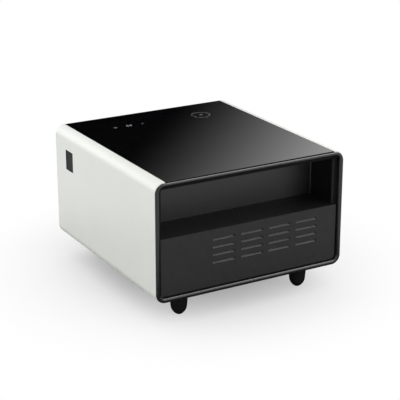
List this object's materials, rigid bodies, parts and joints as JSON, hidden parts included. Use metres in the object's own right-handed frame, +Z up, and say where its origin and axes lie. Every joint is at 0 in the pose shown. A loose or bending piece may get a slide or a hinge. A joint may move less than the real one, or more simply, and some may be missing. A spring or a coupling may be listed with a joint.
{
  "type": "refrigerator side table",
  "caption": "Low table with a flush glass top, an open shelf over a louvred panel at one end and a refrigerated pull-out drawer at the other, on domed feet.",
  "frame": {"origin": "on the floor, below the middle of the body", "axes": "+Z up; the open shelf faces -Y and the drawer opens towards +Y; +X is to the right of someone who faces the shelf"},
  "size_m": [0.65, 0.684, 0.448],
  "materials": {
    "white_panel": "satin",
    "black_glass": "polished",
    "bezel_black": "satin",
    "face_black": "matte",
    "shelf_black": "matte",
    "foot_black": "satin",
    "outlet_grey": "matte",
    "louvre_grey": "satin",
    "liner_white": "satin",
    "foam": "rigid foam",
    "lamp_lens": "frosted",
    "gasket_grey": "soft",
    "rubber_black": "matte",
    "zinc_steel": "zinc plated",
    "deck_sheet": "mill finish",
    "cold_plate": "satin",
    "condenser_metal": "mill finish",
    "compressor_black": "gloss",
    "copper_tube": "drawn copper",
    "fan_black": "matte",
    "control_grey": "matte",
    "board_green": "coated",
    "coil_copper": "enamelled winding"
  },
  "bodies": {
    "cabinet": {"left_side_panel": "white_panel", "right_side_panel": "white_panel", "top_glass": "black_glass", "end_bezel": "bezel_black", "vent_panel": "face_black", "vent_louvres": "louvre_grey", "shelf_liner": "shelf_black", "shelf_trim": "face_black", "outlet_frame": "outlet_grey", "outlet_socket": "outlet_grey", "shelf_left_foot": "foot_black", "shelf_right_foot": "foot_black", "drawer_left_foot": "foot_black", "drawer_right_foot": "foot_black", "foot_glides": "rubber_black", "foot_studs": "zinc_steel", "foot_nuts": "zinc_steel", "top_deck": "deck_sheet", "touch_board": "board_green", "charging_coil": "coil_copper", "base_pan": "zinc_steel", "cord_gland": "rubber_black", "insulation": "foam", "cabinet_liner": "liner_white", "evaporator_plate": "cold_plate", "cabinet_lamp": "lamp_lens", "left_outer_slide": "zinc_steel", "right_outer_slide": "zinc_steel", "compressor": "compressor_black", "compressor_grommets": "rubber_black", "compressor_bolts": "zinc_steel", "condenser": "condenser_metal", "fan_shroud": "fan_black", "filter_drier": "copper_tube", "discharge_pipe": "copper_tube", "liquid_pipe": "copper_tube", "capillary_pipe": "copper_tube", "suction_pipe": "copper_tube", "control_box": "control_grey", "control_board": "board_green", "control_box_lid": "control_grey"},
    "drawer": {"drawer_front": "face_black", "drawer_inner_panel": "liner_white", "drawer_gasket": "gasket_grey", "drawer_bin": "liner_white", "left_inner_slide": "zinc_steel", "right_inner_slide": "zinc_steel"},
    "left middle slide": {"left_middle_slide": "zinc_steel"},
    "right middle slide": {"right_middle_slide": "zinc_steel"},
    "fan": {"fan_rotor": "fan_black"}
  },
  "joints": [
    {"name": "drawer_slide", "type": "slide", "parent": "cabinet", "child": "drawer", "axis": [0, 1, 0], "range_m": [0, 0.34]},
    {"name": "left_slide_follow", "type": "slide", "parent": "cabinet", "child": "left middle slide", "axis": [0, 1, 0], "range_m": [0, 0.17]},
    {"name": "right_slide_follow", "type": "slide", "parent": "cabinet", "child": "right middle slide", "axis": [0, 1, 0], "range_m": [0, 0.17]},
    {"name": "fan_spin", "type": "hinge", "parent": "cabinet", "child": "fan", "pos_m": [0.05175, -0.282, 0.1625], "axis": [0, 1, 0], "continuous": true}
  ],
  "couplings": [
    {"joint": "left_slide_follow", "follows": "drawer_slide", "ratio": 0.5},
    {"joint": "right_slide_follow", "follows": "drawer_slide", "ratio": 0.5}
  ]
}
